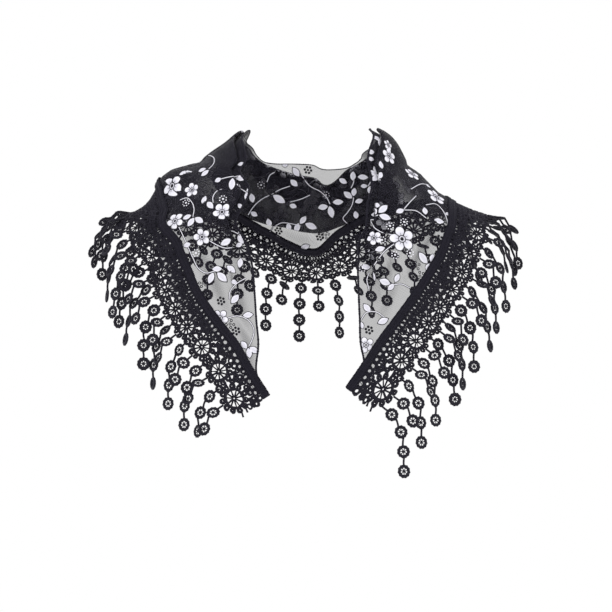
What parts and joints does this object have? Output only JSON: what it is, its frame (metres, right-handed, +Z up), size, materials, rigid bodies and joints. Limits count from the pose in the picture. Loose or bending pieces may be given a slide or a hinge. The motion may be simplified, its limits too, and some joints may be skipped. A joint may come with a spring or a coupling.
{
  "type": "lace shawl",
  "caption": "Sheer black triangular shawl in its worn form, open in front, with a medallion lace border and hanging rosette drops along its two short edges.",
  "frame": {"origin": "middle of the neck, at the level where the shawl rests on the shoulders", "axes": "+X across the shoulders, -Y towards the front opening, +Z up"},
  "size_m": [0.4338, 0.2565, 0.3483],
  "materials": {
    "sheer_mesh": "matte",
    "black_braid": "satin",
    "black_lace": "satin",
    "white_motifs": "matte",
    "black_motifs": "matte"
  },
  "bodies": {
    "root": {"mesh_left_front": "sheer_mesh", "mesh_back": "sheer_mesh", "mesh_right_front": "sheer_mesh", "braid_left_front": "black_braid", "braid_back": "black_braid", "braid_right_front": "black_braid", "lace_left_front": "black_lace", "lace_back": "black_lace", "lace_right_front": "black_lace", "fringe_left_front": "black_lace", "fringe_back": "black_lace", "fringe_right_front": "black_lace"}
  },
  "joints": []
}
